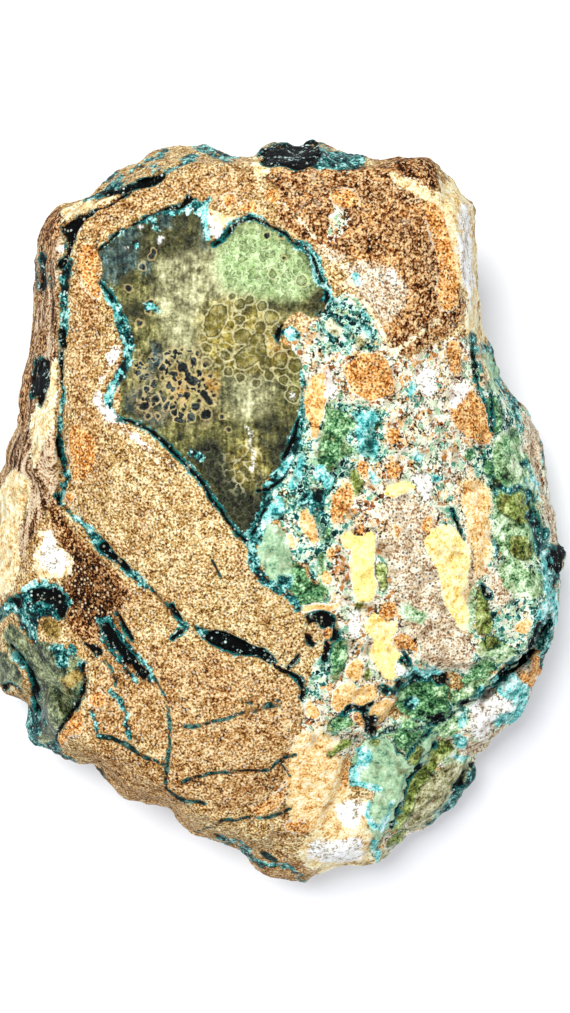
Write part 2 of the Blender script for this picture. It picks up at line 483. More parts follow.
LINES = {
    "teal": """
    70,262,4 64,280,5 64,300,4 64,315,4 63,335,3.5 62,352,1.5 61,380,1 63,392,2 63,410,2 61,425,3
    60,440,3 60,452,3.5 64,465,3 66,478,4 62,490,3 58,500,3;
    60,503,1.5 68,510,1 76,520,1 84,526,2.5 92,535,3 100,543,6 108,552,7 116,558,5 124,566,4
    134,575,4 142,583,3 152,588,1.5 160,598,1.5 168,604,2 174,612,4 181,620,3 186,628,3 182,632,3;
    196,628,3 206,634,5;
    205,636,4 215,638,9 228,642,10 240,648,9 250,651,6 262,654,5 270,660,5 275,661,3;
    92,712,2 95,722,2 97,735,2;
    88,201,2 98,196,3 108,188,5 114,182,5 124,172,3 135,167,2 148,161,2 158,153,3 163,149,2;
    105,193,2 118,190,3 128,187,3 140,184,4 150,181,4 160,177,3 168,172,2.5 178,168,2.5 188,160,3
    196,158,4;
    140,166,2 150,172,1.5 158,168,1;
    200,149,3 212,151,2 222,156,3 228,160,3 240,162,2 247,160,1.5;
    96,252,2 104,246,2 112,238,2 120,230,2 130,227,2 140,222,2.5 150,218,4 160,212,2.5 170,211,4
    180,210,4 188,205,5 194,201,4 198,208,5 204,205,4 209,200,3;
    103,283,3 108,292,4 114,303,5 118,315,6 124,330,7 129,344,6 126,360,5 121,374,5 119,380,3;
    118,420,2 128,421,2 140,424,3 150,430,3 160,439,3.5 170,447,3.5 178,456,3.5 186,464,3
    196,474,3.5 205,485,4 212,498,3.5 220,509,3 228,520,3 236,532,4 245,540,4;
    246,540,4 252,533,5 258,522,5 264,510,5 270,502,5 266,492,5 274,482,6 284,468,7 290,452,7
    296,436,6 300,422,5 303,410,2.5 303,398,1.5 304,385,1.5 301,372,1.5;
    278,340,2 279,332,3 288,332,5 296,335,5;
    328,300,4 327,288,5 321,280,5 317,268,6 314,258,6 306,248,6 300,245,4 292,243,2.5 284,234,2
    276,229,2.5 268,225,2 260,219,2.5 248,218,4 240,220,3 232,225,3.5 227,232,3.5 220,240,4
    213,243,4;
    254,530,4 252,545,5 253,560,5 258,573,5 266,582,4 275,588,4 286,593,3 296,603,4 298,608,4;
    474,335,3 475,352,2 473,366,1.5 475,378,2;
    487,345,2 492,360,2 500,385,3 512,398,3 520,405,3 530,415,2 540,428,2 544,445,2 545,465,2;
    516,405,3 516,420,4 520,432,2;
    522,460,3 527,472,3 524,482,2;
    500,486,3 508,490,3 518,488,3 526,492,3 531,502,3 532,515,2 538,495,2;
    542,530,3 545,545,3;
    98,620,3 108,619,3 118,632,3 128,646,3 138,658,3 150,670,3 150,680,3;
    102,640,2 112,652,2 124,666,2.5 136,682,2.5;
    20,625,3 30,635,3 34,642,3;
    55,648,4 62,665,4 70,652,3;
    82,664,3 84,672,2;
    16,655,3 24,664,4 30,670,3 34,685,2.5 36,695,3 32,712,4;
    0,686,2 14,688,2.5 20,692,2;
    28,720,4 26,732,3 34,746,3 50,750,4 60,745,5 66,756,2 76,760,1.5;
    436,746,1.2 426,760,1.2 416,767,1.2 413,773,1.2 404,778,1.2 404,790,1.5 403,803,1.2
    398,815,1.2 392,826,1.2;
    508,666,3 530,655,3;
    148,306,4 156,309,4;
    134,244,3;
    156,227,3 150,219,3;
    192,452,3 200,458,4;
    315,155,4 330,158,4 348,156,5 362,160,4;
    258,152,3 262,156,3;
    110,690,2.4 120,700,2.4 126,712,2.4 126,724,2.4 130,738,2.4;
    195,833,1.8 210,838,1.8 225,841,1.8 238,846,1.8 248,851,1.8 256,861,1.8 266,866,1.8
    280,866,1.8 290,868,1.8 298,875,1.8 300,878,1.8;
    288,883,2 296,884,2 304,881,2;
    121,372,3 116,380,4 111,390,4.5 108,400,4 110,410,3.5 118,417,3 126,421,2;
    480,392,2 484,404,2.5 490,418,2 492,432,1.5;
    494,478,1.5 496,495,1.2;
    497,540,1.5 498,552,1;
    320,302,1.6 330,297,2.2 342,306,1.6;
    345,316,1.4 360,322,2 372,334,2 374,348,1.4;
    318,318,1 324,330,1.4 336,342,1.4 350,350,1;
    330,312,1.5 340,324,1.8 352,332,1.4;
    """,
    "cyan": """
    205,204,3 205,215,4 206,228,3 208,240,2;
    113,305,3 117,318,4;
    131,345,3;
    121,372,3;
    280,472,5 288,458,5;
    270,484,4;
    278,502,6 276,512,5;
    310,252,4 316,266,4;
    288,334,4 294,338,3;
    150,218,3;
    156,228,3;
    172,214,3;
    188,212,3;
    200,212,4;
    136,245,3;
    150,306,3 156,308,3;
    197,455,3;
    362,750,4 364,760,4 356,772,5 354,782,5 362,784,3 375,788,3 380,790,2;
    370,800,2 366,815,3 372,825,3 380,828,3 386,815,2 392,804,2;
    376,840,3 376,852,3 372,860,2;
    412,668,2 420,672,3 432,670,3 442,672,2;
    415,702,4;
    375,480,3 370,472,2;
    436,478,4;
    412,384,3 410,395,3;
    418,457,4;
    355,275,4 358,283,3;
    20,590,2 34,584,4;
    12,608,4;
    545,552,4 547,565,5 550,580,4;
    557,590,4 559,605,4 559,620,3 555,628,4;
    543,605,4 540,620,4;
    505,690,8 520,700,6 522,712,5 500,720,5;
    320,855,1.5 350,855,1.5;
    80,520,2 92,530,3;
    118,376,2 112,386,2.5 107,396,2.5 106,404,2;
    122,336,1.5 126,346,2 122,360,1.5;
    104,292,1.5 110,304,1.5;
    322,284,2 330,292,3;
    336,300,2;
    362,312,1.6 368,320,1.6;
    345,338,1.6;
    """,
    "white": """
    293,396,1.8;
    159,240,2;
    127,248,1.5;
    139,227,1.5;
    62,250,3;
    78,229,3;
    248,429,0.1 250,438,0.3 252,452,0.3 254,462,0.1 252,470,0.1;
    124,428,0.6 138,440,0.8 150,449,0.6;
    104,372,0.8 99,384,0.6;
    162,458,0.4 174,470,0.4;
    352,302,0.6;
    362,340,0.6;
    330,322,0.6;
    """,
    "black": """
    62,330,3 64,345,3;
    61,350,1.2 61,385,1.2;
    59,440,2.5 60,455,2.5;
    57,495,2 58,503,2;
    104,546,4 112,555,4 120,562,3.5 128,570,1.5;
    172,606,2 176,613,3 181,619,1;
    172,638,2 180,632,3;
    205,636,2 215,638,7 228,642,8 240,648,7 250,651,4 262,654,3 270,660,4 275,661,2;
    288,668,2 300,655,2;
    104,192,2 120,190,2 136,185,3 148,182,4 158,178,4 164,176,2;
    78,222,4 86,216,2.5 98,210,1.5 110,204,1 122,196,2 130,191,1.5;
    96,252,1.5 104,246,1.5 112,238,1.5 120,230,1.5 130,226,1.5 140,221,1.5 150,215,1 160,210,1.5
    170,208,1.5 180,207,2 186,202,3 190,198,3;
    100,281,1.5 106,288,1.5 112,297,1.5;
    118,420,1 130,421,1.5 142,425,1.5 152,431,1.5 162,440,2 172,449,2 180,458,1.5 188,466,1.5
    197,475,1.5 206,487,1.5 212,499,1.5 222,511,1.5 230,524,1.5 238,535,1.5 246,541,1.5;
    252,534,1.5 258,524,1.5 265,510,1.5;
    258,491,2 268,489,2 278,482,1.5 285,477,1;
    283,458,2 288,450,3 292,441,3 296,428,1.5 298,420,1;
    278,341,1.5 277,334,2 279,328,2.5 282,324,1.5;
    318,316,1 324,306,1.5 328,298,1.5 325,290,1.5;
    322,282,1.5 318,272,1.5 314,262,1.5 311,255,1.5 304,247,1;
    298,244,1.5 292,242,1.5 286,235,1 278,230,1.5 268,225,1.5 262,221,1.5 256,219,1.5 248,219,1.5
    240,222,1.5 232,227,1.5 228,234,1.5 222,240,1.5 214,244,1.5;
    255,653,2 262,650,2;
    473,366,1.5 475,378,1.5;
    490,418,2 492,432,2;
    483,586,2 489,596,3;
    343,714,1.5 350,707,2 365,708,2 366,718,2 371,722,1.5;
    370,706,1.5 373,703,1.5;
    400,660,1.2 408,666,1.2;
    385,729,1.5 398,725,1.5;
    470,768,1.5 450,788,1.5;
    497,681,1 490,685,1 480,691,0.8 470,698,0.8 460,705,1 452,714,1.2 440,721,1.2 428,722,0.8
    415,722,0.6;
    436,745,1.3 432,750,1 428,757,1 424,762,1 416,767,1.4 410,773,1.1 404,779,1.2;
    405,780,0.9 404,790,0.9 404,800,1 400,808,1 396,816,1.3 391,826,1;
    469,768,1.3 466,775,1.1 461,782,1.2 455,787,0.8 450,790,0.6;
    431,727,0.5 425,735,0.6 415,745,0.5 406,756,0.6 398,752,0.5 395,742,0.5;
    372,737,0.6 385,732,0.6 398,730,0.6 412,731,0.5 422,727,0.5;
    340,714,1 348,709,1.1 358,708,0.8 365,706,0.8 373,703,1.2;
    365,708,0.9 367,714,1.2 371,719,1;
    402,650,0.5 408,660,0.5 411,667,0.6;
    476,352,0.9 475,365,1.1 476,378,1.1 478,388,0.8;
    492,396,0.8 491,410,1 492,430,1;
    452,510,1 457,522,1.3 462,538,1;
    530,478,0.7 534,495,0.8 538,515,0.8 540,530,0.7;
    275,665,2.1 283,671,2.8 292,675,2.1 300,680,2.8 304,690,3.5 302,698,2.1;
    84,664,1.5 85,680,1.5 83,692,2 76,701,2 70,712,2 62,726,2 59,736,2;
    24,660,1.5 18,652,2 12,646,1;
    28,668,2 33,676,2.2 36,688,2 35,700,1.5 38,712,2;
    0,686,2 12,689,2 22,694,1.5;
    116,612,1.5 124,626,2 132,640,1.5;
    """,
    "lobe": """
    219,313,8 212,328,8.5;
    258,340,7 254,352,10 244,359,9;
    240,320,4;
    240,305,4.5;
    271,318,6;
    280,360,7.5;
    295,365,6.5;
    266,363,6;
    242,336,7;
    261,326,5;
    293,395,6.5;
    207,348,4;
    226,355,4;
    302,281,4.5;
    273,274,3.5;
    207,362,4;
    136,363,3;
    232,296,3;
    250,300,3.5;
    262,306,4;
    284,330,5;
    288,345,4.5;
    270,376,4;
    284,380,4;
    228,372,3.5;
    240,378,3.5;
    256,384,3.5;
    """,
    "pit": """
    183,367,5;
    193,361,4;
    192,381,5.5;
    203,393,3 211,402,2.5;
    187,396,3.5;
    196,407,4;
    206,414,5;
    192,417,4;
    184,410,2.5;
    169,386,3;
    145,405,4;
    156,400,4;
    215,384,2;
    222,417,2;
    229,430,2;
    154,252,2.5;
    151,257,2.5;
    129,288,3;
    143,267,2.5;
    150,303,3;
    149,312,2;
    282,237,2.5;
    267,236,2.5;
    285,258,2;
    140,323,3;
    176,352,2.5;
    182,349,2;
    199,372,2.5;
    176,374,2.5;
    163,378,2;
    178,388,2;
    172,398,2.5;
    166,408,2.5;
    158,416,2;
    177,418,2;
    214,395,2;
    203,380,2;
    199,400,2;
    148,416,2;
    188,373,2;
    163,366,2;
    170,364,2;
    """,
    "hair": """
    183,727,1.8 200,726,1.8 212,722,1.8 228,718,1.8 240,713,1.8 255,711,1.8 268,708,1.8
    280,705,1.8;
    170,726,1.9 170,742,1.9 168,752,1.9 168,765,1.9 166,778,1.9 166,790,1.9 178,798,1.9
    192,801,1.9 205,803,1.9;
    180,784,1.9 192,778,1.9 200,776,1.9 215,773,1.9 232,771,1.9 248,771,1.9 268,770,1.9
    278,762,1.9 286,757,1.9 296,756,1.9;
    281,766,1.6 290,776,1.6;
    200,829,1.7 212,826,1.7 224,820,1.7 235,820,1.7 248,817,1.7 265,818,1.7 275,815,1.7
    285,811,1.7 292,806,1.7;
    104,662,1.9 110,665,1.9 114,675,1.9 116,685,1.9;
    262,852,2.7 270,857,2.7 276,860,2.7;
    98,736,2.5 110,738,2.5 122,743,2.5 134,750,2.5;
    100,772,2.1 106,782,2.1;
    150,672,1.6 162,690,1.5 168,706,1.5 170,724,1.6;
    136,752,1.7 150,760,1.7 168,766,1.6;
    212,560,1.5 222,580,1.5;
    240,700,1.5 262,706,1.5 280,700,1.5;
    """,
    "cream": """
    331,258,1.2 345,275,1.6 362,297,2 380,326,2.6 395,356,2.2;
    395,352,1.6 415,338,1.6 440,320,1.2;
    262,190,1 285,205,1.5 305,225,1.5 318,240,1;
    118,340,1.5 112,362,1.5 102,382,1.5;
    104,420,1.5 130,442,1.8 158,462,1.2;
    """,
}

# The minerals whose hand-picked outlines lose their corners.
ROUNDED = ("green", "sage", "khaki", "olive", "mint", "orange", "white", "cyan")

# ----------------------------------------------------------------------------------------------
# Colours

# Each finish runs through these stops: red, green and blue out of 255, and the stop's place
# from 0 to 1. Fragments run from the rusty ones to the copper-stained ones.
FINISHES = {
    "quartzite": "65,38,10,0.22 162,116,59,0.39 208,172,106,0.54 248,240,194,0.76",
    "rust": "46,20,6,0.24 138,80,32,0.40 188,134,72,0.54 238,206,154,0.76",
    "grit": "22,9,2,0.24 102,51,16,0.38 172,113,55,0.52 222,196,148,0.74",
    "strata": "14,6,2,0.26 86,49,25,0.40 171,127,80,0.52 225,205,171,0.64",
    "brown": "11,4,0,0.32 88,42,9,0.44 164,96,36,0.56 229,197,143,0.74",
    "pinkish": "128,88,60,0.28 198,167,128,0.42 227,210,173,0.55 247,245,225,0.72",
    "cream": "182,124,57,0.20 235,202,137,0.38 245,230,177,0.54 250,254,228,0.72",
    "mint": "60,104,84,0.20 150,188,146,0.40 186,216,172,0.58 236,248,226,0.80",
    "olive": "27,34,6,0.24 103,119,49,0.42 158,174,90,0.57 229,237,173,0.78",
    "green": "2,25,16,0.26 54,107,64,0.41 119,172,111,0.56 212,244,194,0.74",
    "yellow": "210,146,56,0.18 247,210,116,0.36 252,236,158,0.52 255,251,206,0.72",
    "lemon": "216,176,84,0.20 248,226,130,0.40 253,244,158,0.54 255,253,205,0.74",
    "ochre": "170,100,40,0.22 232,180,100,0.40 248,214,148,0.58 255,242,204,0.78",
    "orange": "96,44,10,0.22 190,116,46,0.40 234,172,92,0.56 254,226,166,0.76",
    "amber": "42,29,5,0.28 114,88,30,0.43 158,129,61,0.57 202,184,120,0.78",
    "soot": "2,1,0,0.38 40,16,3,0.48 99,47,12,0.58 175,130,79,0.72",
    "hair": "0,10,10,0.30 3,34,32,0.46 18,67,62,0.58 104,144,128,0.80",
    "sage": "15,50,27,0.24 118,160,105,0.39 181,212,158,0.53 248,255,231,0.71",
    "khaki": "50,44,16,0.24 138,134,84,0.40 190,186,138,0.55 234,232,204,0.76",
    "sand": "176,104,36,0.20 236,186,110,0.38 252,224,160,0.54 255,248,222,0.74",
    "glass": "13,27,21,0.30 73,86,57,0.44 115,124,83,0.57 188,196,148,0.78",
    "teal": "0,6,8,0.33 4,52,54,0.45 24,126,120,0.57 176,232,220,0.73",
    "cyan": "20,90,92,0.26 86,188,182,0.41 156,228,218,0.56 238,254,250,0.72",
    "white": "150,136,112,0.22 228,222,204,0.36 253,253,244,0.48 255,255,253,0.70",
    "black": "0,0,0,0.52 0,3,4,0.62 6,48,46,0.71 214,240,230,0.82",
    "pocket": "25,25,9,0.32 85,81,37,0.45 128,124,64,0.57 208,203,131,0.76",
    "pocket_blue": "4,13,18,0.32 33,55,57,0.45 65,92,89,0.57 147,180,176,0.76",
    "pocket_mint": "68,99,47,0.28 146,177,109,0.43 185,214,146,0.57 231,249,202,0.76",
    "pocket_gold": "49,40,4,0.32 114,100,31,0.45 162,142,57,0.57 236,219,131,0.76",
    "pocket_dark": "1,1,0,0.32 12,13,2,0.45 27,26,7,0.57 59,59,23,0.76",
    "pocket_haze": "94,94,62,0.32 156,153,109,0.45 198,196,145,0.57 255,254,212,0.76",
    "pocket_brown": "9,11,2,0.32 44,43,16,0.45 74,70,33,0.57 138,134,76,0.76",
    "pocket_amber": "62,34,3,0.32 145,99,30,0.45 193,143,54,0.57 240,206,110,0.76",
    "fragments": (
        "46,22,8,0.00 120,64,26,0.10 190,122,58,0.20 222,172,104,0.30 240,214,160,0.40"
        " 250,244,222,0.50 226,232,198,0.60 176,204,158,0.70 84,158,132,0.80 18,92,86,0.90"
        " 4,34,34,1.00"
    ),
    "chalk": "120,120,90,0.25 222,222,196,0.45 255,255,246,0.65",
    "verdant": "30,96,84,0.25 138,208,188,0.45 224,250,236,0.65",
    "shade": "96,92,80,0.22 255,255,255,0.46",
    "clouds": "170,168,160,0.25 255,255,255,0.60",
    "pit": "2,4,4,0.35 20,26,24,0.55 84,96,92,0.80",
    "recess": "176,152,130,0.10 255,255,255,0.50",
}

# The order in which minerals are laid over the quartzite: the grain that each takes, its
# roughness, the width of its edge in mm, and how ragged that edge is.
COATS = (
    ("grit", "fibre", 0.8, 1.2, 1.6),
    ("strata", "layers", 0.8, 1.5, 1.6),
    ("brown", "fibre", 0.8, 0.9, 1.6),
    ("soot", "sugar", 0.8, 2.2, 2.4),
    ("groundmass", "fragments", 0.7, 0.6, 1.6),
    ("pinkish", "sugar", 0.75, 2.0, 2.2),
    ("cream", "clay", 0.7, 1.0, 1.8),
    ("sand", "clay", 0.7, 1.6, 1.8),
    ("sage", "glaze", 0.5, 0.6, 1.8),
    ("khaki", "glaze", 0.45, 0.6, 1.2),
    ("mint", "smooth", 0.5, 0.6, 1.3),
    ("olive", "glaze", 0.4, 0.4, 1.0),
    ("green", "glaze", 0.45, 0.4, 1.6),
    ("yellow", "clay", 0.55, 0.25, 0.45),
    ("ochre", "clay", 0.6, 0.35, 0.7),
    ("lemon", "smooth", 0.5, 0.3, 0.3),
    ("orange", "sugar", 0.7, 0.6, 1.3),
    ("glass", "glaze", 0.25, 0.4, 0.8),
    ("amber", "glaze", 0.4, 1.2, 1.2),
    ("pocket", "glaze", 0.24, 0.25, 0.3),
    ("hair", "glaze", 0.7, 0.3, 1.0),
    ("teal", "glaze", 0.5, 0.35, 1.8),
    ("cyan", "glaze", 0.55, 0.5, 1.3),
    ("white", "speckle", 0.75, 1.4, 2.0),
    ("black", "glaze", 0.75, 0.25, 1.2),
)

COAT_NAMES = tuple(coat[0] for coat in COATS)

# The thin seam round a mineral: its colour and its width in mm.
SEAMS = {
    "orange": ((250, 244, 222), 0.26),
    "ochre": ((252, 250, 238), 0.30),
    "yellow": ((252, 250, 236), 0.24),
    "mint": ((20, 96, 88), 0.40),
    "olive": ((14, 44, 34), 0.34),
    "green": ((8, 62, 56), 0.40),
    "black": ((14, 104, 98), 0.45),
    "cream": ((150, 84, 36), 0.20),
}

# The zones of the pocket and how softly each fades into the next, in mm.
ZONES = (
    ("pocket_haze", 8.0),
    ("pocket_gold", 7.0),
    ("pocket_mint", 7.0),
    ("pocket_brown", 5.0),
    ("pocket_blue", 2.5),
    ("pocket_amber", 4.0),
    ("pocket_dark", 4.0),
)

# How much of each noise a grain takes: fine, each grain's own, blotch, medium and broad.
GRAINS = {
    "sugar": (1.6, 0.24, 0.9, 0.09, 0.06),
    "speckle": (1.6, 0.25, 1.2, 0.14, 0.05),
    "clay": (1.2, 0.14, 1.1, 0.14, 0.06),
    "glaze": (0.9, 0.12, 1.2, 0.22, 0.06),
    "glassy": (0.6, 0.05, 0.6, 0.10, 0.05),
    "smooth": (0.7, 0.08, 0.8, 0.20, 0.05),
    "fibre": (1.5, 0.22, 0.5, 0.09, 0.05),
}

# The scales of the material's noises and cells, per metre.
SCALES = {
    "fine": 1500.0,
    "grain": 1000.0,
    "fibre": 950.0,
    "streak": 900.0,
    "swirl": 700.0,
    "piece": 620.0,
    "layer": 620.0,
    "small bubble": 560.0,
    "ripple": 460.0,
    "blotch": 420.0,
    "film": 340.0,
    "bubble": 330.0,
}

# Plain colours, out of 255.
TINTS = {
    "hollow": (26, 34, 20),
    "bubble film": (216, 232, 180),
    "bubble inside": (132, 146, 88),
    "bubble ring": (76, 92, 50),
    "pocket film": (228, 222, 172),
    "lobe": (92, 88, 36),
    "lobe film": (226, 220, 168),
    "lobe line": (52, 46, 18),
    "pit dust": (206, 186, 132),
    "pit edge": (224, 196, 136),
    "dark speck": (74, 44, 18),
    "pale flake": (252, 238, 204),
    "rusty speck": (34, 16, 4),
    "sandy flake": (244, 216, 168),
    "sparkle": (214, 236, 226),
    "table": (240, 240, 241),
    "sky": (236, 242, 255),
}


# ----------------------------------------------------------------------------------------------
# Noise


def scrambled(cells, salt):
    """A fixed number from 0 to 1 for each whole-numbered cell."""
    across, along, up = (cells[..., axis] for axis in range(3))
    word = across * 374761393 + along * 668265263 + up * 1440662683 + salt * 362437
    word &= 0xFFFFFFFF
    word = ((word ^ (word >> 13)) * 1274126177) & 0xFFFFFFFF
    word = ((word ^ (word >> 15)) * 1103515245) & 0xFFFFFFFF
    return (word ^ (word >> 16)) / 0xFFFFFFFF


def waves(points, size, salt):
    """Smooth noise from about -1 to 1, with humps about size mm across."""
    at = points / size
    cell = np.floor(at).astype(np.int64)
    part = at - cell
    ease = part**3 * (part * (part * 6 - 15) + 10)
    total = np.zeros(len(points))
    for corner in itertools.product((0, 1), repeat=3):
        weight = np.prod(np.where(corner, ease, 1 - ease), axis=1)
        slope = np.stack([scrambled(cell + corner, salt + k) * 2 - 1 for k in range(3)], axis=1)
        total += weight * np.sum(slope * (part - corner), axis=1)
    return total * 1.7


def rough(points, size, salt, octaves=3):
    """Noise with finer humps on each hump, from about -1 to 1."""
    total = np.zeros(len(points))
    for octave in range(octaves):
        total += waves(points, size / 2**octave, salt + 7 * octave) / 2**octave
    return total / 1.5


def rough_on_plan(points, size, salt, octaves):
    """Rough noise for both directions of the plan."""
    return np.stack([rough(points, size, salt + 10 * k, octaves) for k in range(2)], axis=1)


def nearest_seed(points, size, salt):
    """Distance from each point to the nearest of scattered seeds, in mm."""
    at = points / size
    home = np.floor(at).astype(np.int64)
    nearest = np.full(len(points), 9.0)
    for step in itertools.product((-1, 0, 1), repeat=3):
        cell = home + step
        seed = cell + np.stack([scrambled(cell, salt + k) for k in range(3)], axis=1)
        nearest = np.minimum(nearest, np.linalg.norm(seed - at, axis=1))
    return nearest * size


def eased(value, low, high):
    """0 below low, 1 above high, and a smooth step between."""
    share = np.clip((value - low) / (high - low), 0, 1)
    return share * share * (3 - 2 * share)


# ----------------------------------------------------------------------------------------------
# The outlines as distances


def on_plan(points):
    """The photograph pixel of each point."""
    spread = (EYE[2] - PLAN_Z) / (EYE[2] - points[:, 2])
    flat = EYE[:2] + (points[:, :2] - EYE[:2]) * spread[:, None]
    across = PLAN_CENTRE[0] + PIXELS_PER_MM * flat[:, 0]
    down = PLAN_CENTRE[1] - PIXELS_PER_MM * flat[:, 1]
    return np.stack((across, down), axis=1)


def numbers(text):
    """The rows of numbers of one outline or of a colour's stops."""
    return np.array([[float(n) for n in row.split(",")] for row in text.split()])


def outlines(text):
    """The outlines of a text that has several."""
    return [numbers(part) for part in text.split(";") if part.strip()]


def rounded(outline, rounds=2):
    """The outline with its corners cut off, twice over."""
    for _ in range(rounds):
        after = np.roll(outline, -1, axis=0)
        outline = np.stack((0.75 * outline + 0.25 * after, 0.25 * outline + 0.75 * after), axis=1)
        outline = outline.reshape(-1, 2)
    return outline


def near_outline(at, outline):
    """Which pixels are close enough to an outline to be measured."""
    low = outline[:, :2].min(axis=0) - FAR
    high = outline[:, :2].max(axis=0) + FAR
    return np.flatnonzero(np.all((at > low) & (at < high), axis=1))


def along_run(p, a, b):
    """How far along the run from a to b each pixel is, from 0 to 1, and how far off it."""
    run = b - a
    share = np.clip((p - a) @ run / max(run @ run, 1e-9), 0, 1)
    return share, np.linalg.norm(p - a - share[:, None] * run, axis=1)


def area_depth(at, outline):
    """How far each pixel is inside an outline, negative outside."""
    near = near_outline(at, outline)
    p = at[near]
    nearest = np.full(len(p), np.inf)
    within = np.zeros(len(p), bool)
    for a, b in zip(outline, np.roll(outline, -1, axis=0)):
        nearest = np.minimum(nearest, along_run(p, a, b)[1])
        if a[1] != b[1]:
            crossing = (p[:, 1] < a[1]) != (p[:, 1] < b[1])
            side = a[0] + (p[:, 1] - a[1]) / (b - a)[1] * (b - a)[0]
            within ^= crossing & (p[:, 0] < side)
    depth = np.full(len(at), -FAR)
    depth[near] = np.where(within, nearest, -nearest)
    return depth


def line_depth(at, line):
    """How far each pixel is inside a line of changing half width, negative outside."""
    near = near_outline(at, line)
    p = at[near]
    best = np.full(len(p), -FAR)
    for a, b in zip(line, line[1:] if len(line) > 1 else line):
        share, away = along_run(p, a[:2], b[:2])
        best = np.maximum(best, a[2] + share * (b[2] - a[2]) - away)
    depth = np.full(len(at), -FAR)
    depth[near] = best
    return depth


def depths(at):
    """For each mineral, how far each pixel is inside it, in mm."""
    found = {}
    for name, text in AREAS.items():
        shapes = outlines(text)
        if name in ROUNDED:
            shapes = [rounded(shape) for shape in shapes]
        found[name] = np.max([area_depth(at, shape) for shape in shapes], axis=0)
    for name, text in LINES.items():
        here = np.max([line_depth(at, line) for line in outlines(text)], axis=0)
        found[name] = np.maximum(found.get(name, here), here)
    return {name: depth / PIXELS_PER_MM for name, depth in found.items()}


# ----------------------------------------------------------------------------------------------
# The stone's mesh


def normals_of(points, triangles):
    """The unit normal of each point."""
    a, b, c = (points[triangles[:, k]] for k in range(3))
    face = np.cross(b - a, c - a)
    total = np.zeros_like(points)
    for k in range(3):
        for axis in range(3):
            total[:, axis] += np.bincount(triangles[:, k], face[:, axis], len(points))
    return total / np.maximum(np.linalg.norm(total, axis=1), 1e-12)[:, None]


def edges_of(triangles):
    """Every edge once, and which three belong to each triangle."""
    pairs = np.concatenate([triangles[:, (k, (k + 1) % 3)] for k in range(3)])
    edges, which = np.unique(np.sort(pairs, axis=1), axis=0, return_inverse=True)
    return edges, which.reshape(3, -1).T


def relaxed(values, triangles, share, rounds):
    """Draws each point's values towards the mean of its neighbours' values."""
    edges, _ = edges_of(triangles)
    here, there = np.concatenate((edges, edges[:, ::-1])).T
    count = np.bincount(here, minlength=len(values))[:, None]
    for _ in range(rounds):
        columns = [np.bincount(here, column[there], len(values)) for column in values.T]
        values = values + share * (np.stack(columns, axis=1) / count - values)
    return values


def relaxed_above_base(points, triangles, share, rounds=2):
    """Relaxes all points but those of the resting face."""
    loose = (points[:, 2] > BASE_BAND)[:, None]
    return np.where(loose, relaxed(points, triangles, share, rounds), points)


def split_once(points, triangles, wanted, size):
    """Halves every edge that is longer than the wanted length at either end."""
    edges, which = edges_of(triangles)
    length = np.linalg.norm(points[edges[:, 0]] - points[edges[:, 1]], axis=1)
    limit = LONG_ENOUGH * np.minimum(size[edges[:, 0]], size[edges[:, 1]])
    long = np.flatnonzero(length > limit)
    number = np.full(len(edges), -1)
    number[long] = len(points) + np.arange(len(long))
    middle = (points[edges[long, 0]] + points[edges[long, 1]]) / 2
    points = np.concatenate((points, middle))
    size = np.concatenate((size, wanted(middle)))
    halves = number[which]
    count = np.sum(halves >= 0, axis=1)
    made = [triangles[count == 0]]

    def turned(rows, turn, steps):
        return (np.take_along_axis(rows, (turn + k) % 3, axis=1)[:, 0] for k in range(steps))

    # One halved edge: two triangles.
    one = count == 1
    turn = np.argmax(halves[one] >= 0, axis=1)[:, None]
    a, b, c = turned(triangles[one], turn, 3)
    m = halves[one].max(axis=1)
    made += [np.stack(t, axis=1) for t in ((a, m, c), (m, b, c))]

    # Two halved edges: three triangles, with the shorter diagonal.
    two = count == 2
    turn = (np.argmax(halves[two] < 0, axis=1)[:, None] + 1) % 3
    a, b, c = turned(triangles[two], turn, 3)
    m, n = turned(halves[two], turn, 2)
    made.append(np.stack((m, b, n), axis=1))
    from_a = np.linalg.norm(points[a] - points[n], axis=1)
    from_c = np.linalg.norm(points[m] - points[c], axis=1)
    short = (from_a < from_c)[:, None]
    for with_a, with_c in (((a, m, n), (a, m, c)), ((a, n, c), (m, n, c))):
        made.append(np.where(short, np.stack(with_a, axis=1), np.stack(with_c, axis=1)))

    # Three halved edges: four triangles.
    three = count == 3
    a, b, c = triangles[three].T
    m, n, o = halves[three].T
    made += [np.stack(t, axis=1) for t in ((a, m, o), (m, b, n), (o, n, c), (m, n, o))]
    return points, np.concatenate(made), size, len(long)


def split(points, triangles, wanted):
    """Halves edges until nearly none is longer than wanted."""
    size = wanted(points)
    for _ in range(MOST_ROUNDS):
        points, triangles, size, halved = split_once(points, triangles, wanted, size)
        if halved < len(points) // 500:
            break
    return points, triangles


def vein_depth(at):
    """How far each pixel is inside the nearest thin vein, in mm."""
    nearest = np.full(len(at), -FAR)
    for name in ("teal", "black", "cyan"):
        for line in outlines(LINES[name]):
            nearest = np.maximum(nearest, line_depth(at, line))
    return nearest / PIXELS_PER_MM


def facing_eye(points, normals):
    """Cosine between each point's normal and the line to the camera."""
    sight = EYE - points
    sight /= np.linalg.norm(sight, axis=1)[:, None]
    return np.sum(sight * normals, axis=1)


def shown_lookup(points, facing):
    """Tells whether a place is in the camera's sight, from the nearest coarse point."""
    tree = KDTree(len(points))
    for number, point in enumerate(points):
        tree.insert(point, number)
    tree.balance()
    shown = facing > -0.05
    return lambda p: np.array([shown[tree.find(q)[1]] for q in p], bool)


